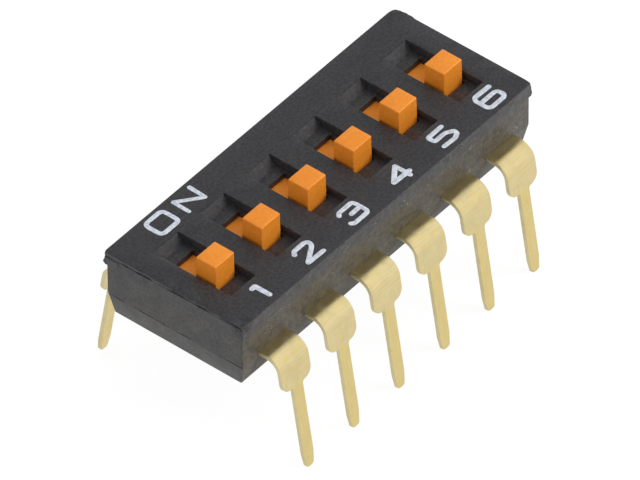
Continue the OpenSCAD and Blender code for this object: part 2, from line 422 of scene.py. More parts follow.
@dataclass
class Effects:
    """Builds the shared node groups and keeps them by name."""

    groups: dict[Effect, bpy.types.NodeTree] = field(default_factory=dict)

    def build(self) -> None:
        """Makes every group once."""
        self._grain()
        self._dust()
        self._wear()
        self._scuff()
        self._cloud()
        LOG.info("shared effects: %s", ", ".join(effect.value for effect in self.groups))

    def _start(
        self, effect: Effect, inputs: dict[str, float | None], outputs: Iterable[str]
    ) -> tuple[Graph, dict[str, Socket], Node]:
        """Starts a group with named sockets.

        Args:
            effect: the effect that the group makes.
            inputs: name of each input with its usual value, or None for a vector.
            outputs: name of each output.

        Returns:
            The graph, the group's inputs by name and its output node.
        """
        tree = bpy.data.node_groups.new(effect.value, "ShaderNodeTree")
        for name, value in inputs.items():
            kind = "NodeSocketVector" if value is None else "NodeSocketFloat"
            made = tree.interface.new_socket(name, in_out="INPUT", socket_type=kind)
            if value is not None:
                made.default_value = value
        for name in outputs:
            tree.interface.new_socket(name, in_out="OUTPUT", socket_type="NodeSocketFloat")
        graph = Graph(tree)
        entry = graph.node("NodeGroupInput")
        leave = graph.node("NodeGroupOutput")
        self.groups[effect] = tree
        return graph, {name: entry.outputs[name] for name in inputs}, leave

    def _grain(self) -> None:
        """Fine spark-eroded grain with a slower waviness under it."""
        inputs = {"Vector": None, "Scale": 20.0}
        graph, given, leave = self._start(Effect.GRAIN, inputs, ("Height", "Tone"))
        fine = graph.noise(given["Vector"], given["Scale"], 4, 0.65)
        slow = graph.noise(given["Vector"], graph.product(given["Scale"], 0.11), 2)
        height = graph.total(graph.product(fine, 0.7), graph.product(slow, 0.6))
        graph.feed(leave, {"Height": height, "Tone": graph.remap(slow, 0.3, 0.7)})

    def _dust(self) -> None:
        """Scattered specks of differing size and strength."""
        inputs = {"Vector": None, "Scale": 3.0, "Amount": 0.2, "Size": 0.1}
        graph, given, leave = self._start(Effect.DUST, inputs, ("Mask",))
        bend = graph.node("ShaderNodeTexNoise", {"Vector": given["Vector"], "Scale": 9.0})
        warped = graph.vector("ADD", given["Vector"], bend.outputs["Color"]).outputs[0]
        cells = graph.node("ShaderNodeTexVoronoi", {"Vector": warped, "Scale": given["Scale"]})
        draws = graph.node("ShaderNodeSeparateColor", {0: cells.outputs["Color"]}).outputs
        chosen = graph.math("LESS_THAN", draws[0], given["Amount"])
        radius = graph.product(given["Size"], graph.remap(draws[1], 0.0, 1.0, 0.35, 1.0))
        near = graph.remap(cells.outputs["Distance"], 0.0, radius, 1.0, 0.0)
        strength = graph.remap(draws[2], 0.0, 1.0, 0.25, 1.0)
        mask = graph.product(graph.product(near, chosen), strength, clamp=True)
        graph.feed(leave, {"Mask": mask})

    def _wear(self) -> None:
        """Convex edges, broken up by noise, found from the rounded normal."""
        inputs = {"Vector": None, "Scale": 6.0, "Reach": 0.00005}
        graph, given, leave = self._start(Effect.WEAR, inputs, ("Mask",))
        soft = graph.node("ShaderNodeBevel", {"Radius": given["Reach"]}, samples=4).outputs[0]
        plain = graph.node("ShaderNodeNewGeometry").outputs["Normal"]
        alike = graph.vector("DOT_PRODUCT", soft, plain).outputs["Value"]
        edge = graph.remap(alike, 0.75, 0.995, 1.0, 0.0)
        broken = graph.remap(graph.noise(given["Vector"], given["Scale"], 3), 0.35, 0.6)
        graph.feed(leave, {"Mask": graph.product(edge, broken, clamp=True)})

    def _scuff(self) -> None:
        """Rubbed patches made of short strokes along X."""
        inputs = {"Vector": None, "Scale": 2.0, "Amount": 0.5}
        graph, given, leave = self._start(Effect.SCUFF, inputs, ("Mask",))
        stretched = graph.vector("MULTIPLY", given["Vector"], (0.35, 1.0, 1.6)).outputs[0]
        strokes = graph.noise(stretched, graph.product(given["Scale"], 5.0), 5, 0.7)
        patches = graph.noise(given["Vector"], given["Scale"], 2)
        mixed = graph.total(graph.product(strokes, 0.6), graph.product(patches, 0.4))
        low = graph.math("SUBTRACT", 0.75, graph.product(given["Amount"], 0.4))
        graph.feed(leave, {"Mask": graph.remap(mixed, low, graph.total(low, 0.2))})

    def _cloud(self) -> None:
        """Two slow masks for colour that drifts over a surface."""
        inputs = {"Vector": None, "Scale": 1.0}
        graph, given, leave = self._start(Effect.CLOUD, inputs, ("First", "Second"))
        first = graph.noise(given["Vector"], given["Scale"], 2, 0.55)
        moved = graph.vector("ADD", given["Vector"], (7.3, 2.1, 4.7)).outputs[0]
        second = graph.noise(moved, given["Scale"], 3, 0.6)
        masks = {"First": graph.remap(first, 0.35, 0.65), "Second": graph.remap(second, 0.4, 0.65)}
        graph.feed(leave, masks)

    def use(self, graph: Graph, effect: Effect, **inputs: object) -> dict[str, Socket]:
        """Places an effect in a material.

        Args:
            graph: the material's graph.
            effect: the effect to place.
            inputs: values for its inputs by name.

        Returns:
            The effect's outputs by name.
        """
        node = graph.node("ShaderNodeGroup", node_tree=self.groups[effect])
        graph.feed(node, inputs)
        return {output.name: output for output in node.outputs}


def open_material(name: str) -> tuple[Material, Graph, Node, Socket, Socket]:
    """Starts a material on a Principled shader.

    Args:
        name: name of the material.

    Returns:
        The material, its graph, the shader, and the place in millimetres and the normal of a
        point of the object.
    """
    material = bpy.data.materials.new(name)
    material.use_nodes = True
    material.node_tree.nodes.clear()
    graph = Graph(material.node_tree)
    shader = graph.node("ShaderNodeBsdfPrincipled")
    graph.node("ShaderNodeOutputMaterial", {0: shader.outputs[0]})
    coordinates = graph.node("ShaderNodeTexCoord").outputs
    inputs = {0: coordinates["Object"], "Scale": 1 / MM}
    scaled = graph.node("ShaderNodeVectorMath", inputs, operation="SCALE")
    return material, graph, shader, scaled.outputs[0], coordinates["Normal"]


@dataclass(frozen=True)
class Specks:
    """How densely specks lie on a surface, in what share of places, and how large they are."""

    scale: float
    amount: float
    size: float

    def mask(self, graph: Graph, effects: Effects, place: Socket) -> Socket:
        """Where the specks lie.

        Args:
            graph: the material's graph.
            effects: the shared node groups.
            place: the place of a point in millimetres.

        Returns:
            The mask.
        """
        inputs = {"Vector": place, "Scale": self.scale, "Amount": self.amount, "Size": self.size}
        return effects.use(graph, Effect.DUST, **inputs)["Mask"]


@dataclass(frozen=True)
class MouldedPlastic:
    """Moulded plastic with grain, dust, rubbed edges, scuffs, and dirt mixed with a painted golden
    reflection and painted glints on the number side.
    """

    name: str
    colour: Colour
    tint: Colour
    worn: Colour
    dust: Colour
    roughness: float
    specks: Specks = Specks(2.6, 0.2, 0.12)
    lint: Specks = Specks(4.6, 0.12, 0.26)
    lint_share: float = 0.6
    cloud_scale: float = 0.8
    speckle_scale: float = 9.0
    speckle: float = 0.35
    grain_scale: float = 16.0
    grain_depth: float = 0.003
    speck_height: float = 1.5
    wear_scale: float = 5.0
    wear_reach: float = 0.05
    wear: float = 0.5
    scuff_scale: float = 1.4
    scuff: float = 0.3
    scuff_share: float = 0.3
    # Number side: dirt mixed with a painted golden reflection of the terminals, and painted pale
    # glints
    dirt_and_reflection: Colour = (0.11, 0.10, 0.08, 1)
    dirt_and_reflection_scale: float = 4.2
    soiled: float = 0.0
    soiled_side: Point = (-2.9, -2.7)
    # painted glints: small painted highlights on the number side
    glints: Specks = Specks(4.4, 0.16, 0.42)
    glint: Colour = (0.55, 0.51, 0.40, 1)

    def material(self, effects: Effects) -> Material:
        """Builds the material.

        Args:
            effects: the shared node groups.

        Returns:
            The new material.
        """
        material, graph, shader, place, normal = open_material(self.name)
        grain = effects.use(graph, Effect.GRAIN, Vector=place, Scale=self.grain_scale)
        cloud = effects.use(graph, Effect.CLOUD, Vector=place, Scale=self.cloud_scale)
        rub = {"Vector": place, "Scale": self.scuff_scale, "Amount": self.scuff}
        scuff = effects.use(graph, Effect.SCUFF, **rub)["Mask"]
        edge = {"Vector": place, "Scale": self.wear_scale, "Reach": self.wear_reach * MM}
        wear = effects.use(graph, Effect.WEAR, **edge)["Mask"]
        specks = self.specks.mask(graph, effects, place)
        base = graph.lay(self.colour, cloud["First"], 0.6, self.tint)
        fine = graph.noise(place, self.speckle_scale, 2, 0.6)
        fine = graph.remap(fine, 0.32, 0.68, 1 - self.speckle, 1 + self.speckle)
        base = graph.vector("MULTIPLY", base, fine).outputs[0]
        base = graph.lay(base, self.lint.mask(graph, effects, place), self.lint_share, self.dust)
        # dirt mixed with a painted golden reflection of the terminals on the outer number side
        if self.soiled:
            base = self._dirt_and_reflection(graph, effects, base, place, normal)
        base = graph.lay(base, scuff, self.scuff_share, self.worn)
        base = graph.lay(base, wear, self.wear, self.worn)
        base = graph.lay(base, specks, 0.8, self.dust)
        rough = graph.total(self.roughness - 0.05, graph.product(grain["Tone"], 0.1))
        rough = graph.total(rough, graph.product(scuff, 0.15), clamp=True)
        height = graph.total(grain["Height"], graph.product(specks, self.speck_height))
        relief = graph.relief(height, self.grain_depth)
        graph.feed(shader, {"Base Color": base, "Roughness": rough, "Normal": relief})
        return material

    def _dirt_and_reflection(
        self, graph: Graph, effects: Effects, base: Socket, place: Socket, normal: Socket
    ) -> Socket:
        """Paints dirt mixed with a golden reflection of the terminals on the outside of the number
        side, and scatters painted pale glints over it.

        Args:
            graph: the material's graph.
            effects: the shared node groups.
            base: the colour so far.
            place: the place of a point in millimetres.
            normal: the normal of a point.

        Returns:
            The colour with the dirt, the painted reflection and the painted glints.
        """
        facing = graph.remap(graph.axis(normal, 1), -0.9, -0.5, 1.0, 0.0)
        outside = graph.remap(graph.axis(place, 1), *self.soiled_side, 1.0, 0.0)
        side = graph.product(facing, outside)
        patchy = graph.remap(graph.noise(place, self.dirt_and_reflection_scale, 6, 0.75), 0.38, 0.64)
        base = graph.lay(base, graph.product(side, patchy), self.soiled, self.dirt_and_reflection)
        # painted glints: small painted highlights on the number side
        return graph.lay(base, self.glints.mask(graph, effects, place), side, self.glint)


@dataclass(frozen=True)
class PlatedMetal:
    """Satin gold plating over stamped strip, with duller sheared sides and redder pins."""

    name: str
    colour: Colour
    warm: Colour
    green: Colour
    sheared: Colour
    streaked: Colour
    pin: Colour
    roughness: float = 0.36
    cloud_scale: float = 2.2
    grain_scale: float = 30.0
    relief_depth: float = 0.0025
    specks: Specks = Specks(3.5, 0.10, 0.1)
    speck: Colour = (0.30, 0.24, 0.12, 1)
    pin_heights: Point = (3.4, 3.9)
    shoulder_heights: Point = (3.9, 4.5)

    def material(self, effects: Effects) -> Material:
        """Builds the material.

        Args:
            effects: the shared node groups.

        Returns:
            The new material.
        """
        material, graph, shader, place, normal = open_material(self.name)
        cloud = effects.use(graph, Effect.CLOUD, Vector=place, Scale=self.cloud_scale)
        grain = effects.use(graph, Effect.GRAIN, Vector=place, Scale=self.grain_scale)
        streak = self._streak(graph, place)
        side = graph.remap(graph.math("ABSOLUTE", graph.axis(normal, 0)), 0.35, 0.9)
        base = graph.lay(self.colour, cloud["First"], 0.55, self.warm)
        base = graph.lay(base, cloud["Second"], 0.5, self.green)
        low = graph.remap(graph.axis(place, 2), *self.pin_heights, 0.75, 0.0)
        base = graph.blend(low, base, self.pin)
        base = graph.blend(graph.remap(streak, 0.40, 0.62, 0.0, 0.6), base, self.streaked)
        base = graph.lay(base, side, 0.75, self.sheared)
        base = graph.lay(base, self.specks.mask(graph, effects, place), 0.3, self.speck)
        rough = graph.total(self.roughness - 0.06, graph.product(cloud["Second"], 0.12))
        rough = graph.total(rough, graph.product(side, 0.15))
        height = graph.total(graph.product(streak, 0.7), graph.product(grain["Height"], 0.2))
        relief = graph.relief(height, self.relief_depth)
        graph.feed(shader, {"Base Color": base, "Roughness": rough, "Normal": relief})
        graph.feed(shader, {"Metallic": 1.0})
        return material

    def _streak(self, graph: Graph, place: Socket) -> Socket:
        """Streaks of the strip: across the bend and shoulders, and down the pin.

        Args:
            graph: the material's graph.
            place: the place of a point in millimetres.

        Returns:
            The streaks' height.
        """
        down = graph.vector("MULTIPLY", place, (14.0, 2.0, 0.7)).outputs[0]
        across = graph.vector("MULTIPLY", place, (0.8, 11.0, 11.0)).outputs[0]
        above = graph.remap(graph.axis(place, 2), *self.shoulder_heights)
        below = graph.math("SUBTRACT", 1.0, above)
        rolled = graph.product(graph.noise(across, 1.5, 3), above)
        return graph.total(rolled, graph.product(graph.noise(down, 2.0, 3), below))


@dataclass(frozen=True)
class PrintedInk:
    """Pale pad-printed ink, thinner in spots."""

    name: str = "pale_print"
    colour: Colour = (0.68, 0.72, 0.79, 1)
    thin: Colour = (0.36, 0.40, 0.46, 1)
    cloud_scale: float = 6.0
    grain_scale: float = 28.0
    relief_depth: float = 0.002
    roughness: float = 0.55

    def material(self, effects: Effects) -> Material:
        """Builds the material.

        Args:
            effects: the shared node groups.

        Returns:
            The new material.
        """
        material, graph, shader, place, _ = open_material(self.name)
        cloud = effects.use(graph, Effect.CLOUD, Vector=place, Scale=self.cloud_scale)
        grain = effects.use(graph, Effect.GRAIN, Vector=place, Scale=self.grain_scale)
        base = graph.lay(self.colour, cloud["Second"], 0.6, self.thin)
        relief = graph.relief(grain["Height"], self.relief_depth)
        graph.feed(shader, {"Base Color": base, "Normal": relief, "Roughness": self.roughness})
        return material


# Sub-assemblies


@dataclass(frozen=True)
class Layout:
    """Sizes that more than one sub-assembly needs, as in the part's source."""

    positions: int = 6
    pitch: float = 2.54
    corner_radius: float = 0.06
    slot_width: float = 1.17
    slot_half: float = 1.005
    window_width: float = 1.35
    window_half: float = 1.755
    floor_depth: float = 0.30
    floor_thickness: float = 0.34
    edge_depth: float = 0.58
    cavity_half_length: float = 7.30
    cavity_half_width: float = 2.53
    well_width: float = 1.90
    strip_thickness: float = 0.18
    strip_top: float = 5.14

    def numbers(self) -> range:
        """Numbers of the switches, from 1."""
        return range(1, self.positions + 1)

    def centre(self, number: int) -> float:
        """X of a switch's centre."""
        return (number - (self.positions + 1) / 2) * self.pitch

    def nearest(self, x: float) -> float:
        """How far an X is from the centre of the nearest switch."""
        return min(abs(x - self.centre(number)) for number in self.numbers())


@dataclass(frozen=True)
class Corner:
    """How one corner of the cover is rubbed away, and its bump at the seam."""

    reach: float
    loss: tuple[float, float, float]
    bump: float = 0.0


CORNERS: dict[tuple[int, int], Corner] = {
    (-1, -1): Corner(0.62, (0.12, 0.14, 0.14)),
    (-1, 1): Corner(0.15, (0.02, 0.02, 0.02), bump=0.045),
    (1, -1): Corner(0.30, (0.03, 0.03, 0.03), bump=0.02),
    (1, 1): Corner(0.35, (0.04, 0.07, 0.03)),
}


@dataclass
class Cover:
    """The black plate with six sunken windows, its edge a little wider at the seam than on top."""

    layout: Layout
    finish: Material
    clearance: float = 0.03
    rim_radius: float = 0.03
    window_radius: float = 0.04
    lean_in: float = 0.01
    lean_out: float = 0.02
    near_depth: float = 0.36
    far_depth: float = 0.38
    ramp_foot: float = 1.45
    ramp_step: float = 0.03
    grid: float = 0.07
    end_skin: float = 0.12
    skin: float = 0.1
    chip_shape: float = 1.5
    chip_noise: float = 0.3
    bump_reach: float = 0.3
    bump_height: float = 0.13
    bump_spread: float = 0.06
    nick_length: float = 0.5
    nick_drop: float = 0.14
    nick_step: float = 0.03
    nick_half: float = 0.035
    score_width: float = 0.03
    score_depth: float = 0.12
    burr_from: float = 2.20
    burr_to: float = 2.95
    burr_drop: float = 0.16
    burr: float = 0.05

    def build(self) -> Piece:
        """Makes the cover from one block.

        Returns:
            The piece, riding on the housing.
        """
        plan = self.layout
        low, high = box_mm("cover")
        top, seam = high.z, high.z - plan.edge_depth
        half_long = plan.cavity_half_length - self.clearance
        half_wide = plan.cavity_half_width - self.clearance
        half_window, half_slot = plan.window_width / 2, plan.slot_width / 2
        bm = block(Vector((low.x, low.y, seam)), high)
        round_edges(bm, plan.corner_radius, 4, is_upright)
        for vert in bm.verts:
            lean = self.lean_out if vert.co.z < top - BESIDE else -self.lean_in
            vert.co.x += math.copysign(lean, vert.co.x)
            vert.co.y += math.copysign(lean, vert.co.y)
        for number in plan.numbers():
            x = plan.centre(number)
            slice_at(bm, 0, (x - half_window, x - half_slot, x + half_slot, x + half_window))
        slice_at(bm, 0, (-half_long, half_long))
        slice_at(bm, 1, (-half_wide, -plan.window_half, -plan.slot_half))
        slice_at(bm, 1, (plan.slot_half, self.ramp_foot, plan.window_half, half_wide))

        def in_insert(p: Vector) -> bool:
            return abs(p.x) < half_long and abs(p.y) < half_wide

        def in_window(p: Vector) -> bool:
            return plan.nearest(p.x) < half_window and abs(p.y) < plan.window_half

        push(bm, -1, in_insert, low.z)
        push(bm, 1, in_window, top - self.near_depth)
        self._ramps(bm, top)
        for number in plan.numbers():
            x = plan.centre(number)
            open_through(bm, lambda p, x=x: abs(p.x - x) < half_slot and abs(p.y) < plan.slot_half)
        bm.normal_update()
        self._soften(bm, top, Vector((half_long, half_wide)))
        self._age(bm, top, seam, Vector((half_long, half_wide)))
        piece = make_piece(bm, "cover_plate", self.finish)
        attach(piece, HOUSING)
        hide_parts("cover")
        LOG.info("cover_plate: %d faces", len(piece.data.polygons))
        return piece

    def _ramps(self, bm: Mesh, top: float) -> None:
        """Turns the ON end of each window's floor into a ramp that rises to the top.

        Args:
            bm: the cover's mesh.
            top: height of its top.
        """
        floor = top - self.near_depth
        for vert in bm.verts:
            if abs(vert.co.z - floor) < SAME and vert.co.y > self.layout.slot_half - BESIDE:
                at_end = vert.co.y > self.ramp_foot + BESIDE
                vert.co.z = top - (self.ramp_step if at_end else self.far_depth)

    def _soften(self, bm: Mesh, top: float, inner: Vector) -> None:
        """Rounds the rim of the top and the convex edges of the windows.

        Args:
            bm: the cover's mesh.
            top: height of its top.
            inner: how far out the rim's cells start, on X and Y.
        """
        plan = self.layout
        half = plan.window_width / 2 + BESIDE
        start, stop = -plan.window_half - BESIDE, self.ramp_foot + self.skin
        levels = (top, top - self.near_depth, top - self.far_depth)

        def on_rim(edge: Edge) -> bool:
            return is_level_at(edge, top) and all(
                abs(p.y) > inner.y + self.skin or abs(p.x) > inner.x + self.skin
                for p in ends(edge)
            )

        def on_window(edge: Edge) -> bool:
            level = any(is_level_at(edge, height) for height in levels)
            near = all(plan.nearest(p.x) < half and start < p.y < stop for p in ends(edge))
            return level and near and is_convex(edge)

        round_edges(bm, self.rim_radius, 3, on_rim)
        round_edges(bm, self.window_radius, 2, on_window)

    def _age(self, bm: Mesh, top: float, seam: float, inner: Vector) -> None:
        """Rubs the corners, scores the near end and leaves a burr on the far one.

        Args:
            bm: the cover's mesh.
            top: height of its top.
            seam: height of its lower edge.
            inner: how far out the corners' cells start, on X and Y.
        """
        half = Vector((max(v.co.x for v in bm.verts), max(v.co.y for v in bm.verts)))
        self._cells(bm, top, seam, inner, half)
        nick = top - self.nick_drop
        for vert in bm.verts:
            at = vert.co.copy()
            if at.z < seam + BESIDE or abs(at.x) < inner.x:
                continue
            rough = noise.noise(at * 5)
            side = (int(math.copysign(1, at.x)), int(math.copysign(1, at.y)))
            corner = CORNERS[side]
            in_x, in_y = half.x - abs(at.x), half.y - abs(at.y)
            away = (at - Vector((side[0] * half.x, side[1] * half.y, top))).length
            near = max(0.0, 1 - away / corner.reach)
            for axis, sign in enumerate((*side, 1)):
                lost = corner.loss[axis] * near**self.chip_shape
                vert.co[axis] -= sign * lost * (1 + self.chip_noise * rough)
            if corner.bump and in_x + in_y < self.bump_reach:
                rise = (at.z - seam - self.bump_height) / self.bump_spread
                out = corner.bump * math.exp(-(rise**2))
                vert.co.x += side[0] * out * (in_y < self.skin)
                vert.co.y += side[1] * out * (in_x < self.skin)
            if side == (-1, -1) and in_y < self.skin and in_x < self.nick_length:
                if abs(nick - at.z) < self.nick_half:
                    vert.co.y += self.score_depth * (1 - in_x / self.nick_length)
            if in_x > self.skin:
                continue
            if at.x < 0:
                vert.co.x += self._score(at, top)
            elif self.burr_from < at.y < self.burr_to and at.z > top - self.burr_drop:
                along = (at.y - self.burr_from) / (self.burr_to - self.burr_from)
                vert.co.x += self.burr * math.sin(math.pi * along) * (0.8 + rough)

    def _cells(self, bm: Mesh, top: float, seam: float, inner: Vector, half: Vector) -> None:
        """Cuts the ends and corners into cells that are small enough to wear.

        Args:
            bm: the cover's mesh.
            top: height of its top.
            seam: height of its lower edge.
            inner: how far out the corners' cells start, on X and Y.
            half: half of the cover's length and width.
        """

        def on_end(face: Face) -> bool:
            middle = face.calc_center_median()
            return abs(middle.x) > half.x - self.end_skin and middle.z > seam + BESIDE

        def on_corner(face: Face) -> bool:
            middle = face.calc_center_median()
            outside = abs(middle.x) > inner.x and abs(middle.y) > inner.y
            return outside and middle.z > seam + BESIDE

        score = top - self._score_drop(0)
        slice_faces(bm, 1, even(-half.y, half.y, self.grid), on_end)
        slice_faces(bm, 2, [score + self.score_width * (i - 3) for i in range(8)], on_end)
        for side in (-1, 1):
            for axis in (0, 1):
                reach = sorted((side * inner[axis], side * half[axis]))
                slice_faces(bm, axis, even(*reach, self.grid), on_corner)
        slice_faces(bm, 2, even(seam, top - 0.2, self.grid), on_corner)
        rows = [top - self.nick_drop + self.nick_step * i for i in (-1, 0, 1)]
        slice_faces(bm, 2, rows, on_corner)

    def _score(self, at: Vector, top: float) -> float:
        """How deep the broken line is at a point of the near end.

        Args:
            at: the point.
            top: height of the cover's top.

        Returns:
            How far the point moves in.
        """
        off = abs(at.z - (top - self._score_drop(at.y))) / self.score_width
        broken = 0.72 + 1.3 * noise.noise(Vector((3.1, at.y * 2.3, 0.4)))
        return self.score_depth * min(max(broken, 0.0), 1.0) * max(0.0, 1 - off / 1.3)

    @staticmethod
    def _score_drop(y: float) -> float:
        """How far below the top the scored line runs on the near end."""
        return 0.105 + 0.012 * y + 0.006 * max(y, 0) ** 2


@dataclass
class Base:
    """The black tray with six wells that carries the terminals."""

    layout: Layout
    finish: Material
    waist: float = 1.00
    end_taper: float = 0.16
    side_taper: float = 0.20
    foot_radius: float = 0.05
    end_skin: float = 0.3
    score_drop: float = 0.05
    score_grid: float = 0.12
    score_step: float = 0.03
    score_depth: float = 0.06

    def build(self) -> Piece:
        """Makes the tray from one block.

        Returns:
            The piece, riding on the housing.
        """
        plan = self.layout
        low, high = box_mm("base")
        insert_bottom, cover_top = (corner.z for corner in box_mm("cover"))
        waist = low.z + self.waist
        bm = block(low, Vector((high.x, high.y, cover_top - plan.edge_depth)))
        round_edges(bm, plan.corner_radius, 4, is_upright)
        slice_at(bm, 2, (waist,))
        for vert in bm.verts:
            if vert.co.z < low.z + BESIDE:
                vert.co.x *= 1 - self.end_taper / high.x
                vert.co.y *= 1 - self.side_taper / high.y
        half_well = plan.well_width / 2
        for number in plan.numbers():
            slice_at(bm, 0, (plan.centre(number) - half_well, plan.centre(number) + half_well))
        half_long = plan.cavity_half_length - 1e-3
        slice_at(bm, 0, (-half_long, half_long))
        slice_at(bm, 1, (-plan.cavity_half_width, plan.cavity_half_width))

        def in_cavity(p: Vector) -> bool:
            return abs(p.x) < plan.cavity_half_length and abs(p.y) < plan.cavity_half_width

        def in_well(p: Vector) -> bool:
            return plan.nearest(p.x) < half_well and in_cavity(p)

        push(bm, 1, in_cavity, insert_bottom)
        push(bm, 1, in_well, plan.strip_top)
        round_edges(bm, self.foot_radius, 3, lambda e: is_level_at(e, low.z))
        self._score(bm, waist, high)
        piece = make_piece(bm, "base_tray", self.finish)
        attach(piece, HOUSING)
        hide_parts("base")
        LOG.info("base_tray: %d faces", len(piece.data.polygons))
        return piece

    def _score(self, bm: Mesh, waist: float, high: Vector) -> None:
        """Scores a broken line along the waist of both ends.

        Args:
            bm: the tray's mesh.
            waist: height of the waist.
            high: highest corner of the tray.
        """
        inner = high.x - self.end_skin

        def on_end(face: Face) -> bool:
            return abs(face.calc_center_median().x) > inner and abs(face.normal.x) > 0.8

        line = waist - self.score_drop
        slice_faces(bm, 1, even(-high.y, high.y, self.score_grid), on_end)
        slice_faces(bm, 2, [line + self.score_step * i for i in range(-3, 3)], on_end)
        for vert in bm.verts:
            if abs(vert.co.z - line) < 1e-3 and abs(vert.co.x) > inner:
                broken = 0.65 + 1.2 * noise.noise(Vector((vert.co.x, vert.co.y * 1.7, 2.2)))
                depth = self.score_depth * min(max(broken, 0.0), 1.0)
                vert.co.x -= math.copysign(depth, vert.co.x)


@dataclass
class Slider:
    """One orange slider: a knob on a flat plate, with its contact's peg below."""

    layout: Layout
    finish: Material
    knob_width: float = 1.07
    knob_length: float = 0.93
    draft: float = 0.02
    plate_width: float = 1.80
    plate_length: float = 3.24
    plate_thickness: float = 0.69
    rest_y: float = -0.49
    knob_radius: float = 0.045
    peg_root: float = 0.19
    peg_tip: float = 0.20
    peg_length: float = 0.24
    peg_centre: float = 0.04

    def build(self, number: int) -> Piece:
        """Makes one slider.

        Args:
            number: the switch's number.

        Returns:
            The piece, riding on its own body.
        """
        plan = self.layout
        node = f"slider_{number}"
        top = box_mm(node)[1].z
        cover_top = box_mm("cover")[1].z
        plate_top = cover_top - plan.floor_depth - plan.floor_thickness
        plate_bottom = plate_top - self.plate_thickness
        x, half_knob = plan.centre(number), self.knob_width / 2
        half_wide, half_long = self.plate_width / 2, self.plate_length / 2
        front, back = self.rest_y - self.knob_length / 2, self.rest_y + self.knob_length / 2
        bm = block(
            Vector((x - half_wide, self.rest_y - half_long, plate_bottom)),
            Vector((x + half_wide, self.rest_y + half_long, plate_top)),
        )
        slice_at(bm, 0, (x - half_knob, x + half_knob))
        slice_at(bm, 1, (front, back))
        push(bm, 1, lambda p: abs(p.x - x) < half_knob and front < p.y < back, top)
        for vert in bm.verts:
            if vert.co.z > top - BESIDE:
                vert.co.x += math.copysign(self.draft, x - vert.co.x)
                vert.co.y += math.copysign(self.draft, self.rest_y - vert.co.y)
        bm.normal_update()

        def on_knob(edge: Edge) -> bool:
            return max(p.z for p in ends(edge)) > top - BESIDE and is_convex(edge)

        round_edges(bm, self.knob_radius, 4, on_knob)
        bmesh.ops.create_cone(
            bm,
            cap_ends=True,
            segments=32,
            radius1=self.peg_root,
            radius2=self.peg_tip,
            depth=self.peg_length,
            matrix=Matrix.Translation((x, self.rest_y, plate_bottom - self.peg_centre)),
        )
        piece = make_piece(bm, f"slide_knob_{number}", self.finish)
        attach(piece, f"switch_{number}")
        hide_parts(node)
        LOG.info("slide_knob_%d: %d faces", number, len(piece.data.polygons))
        return piece


class Row(Enum):
    """The two rows of terminals, each with the side of the body that it leaves from."""

    NUMBER = ("terminal_number", -1, 0.2, 0.16)
    ON = ("terminal_on", 1, 1.3, 0.95)

    @property
    def node(self) -> str:
        """Start of the row's CAD node names."""
        return self.value[0]

    @property
    def side(self) -> int:
        """-1 for the number side, 1 for the ON side."""
        return self.value[1]

    @property
    def extra_flare(self) -> float:
        """Degrees by which the row is sprung outwards, as in the photograph."""
        return self.value[2]

    @property
    def pad_end(self) -> float:
        """Where the strip starts inside the well, outwards from the centre."""
        return self.value[3]


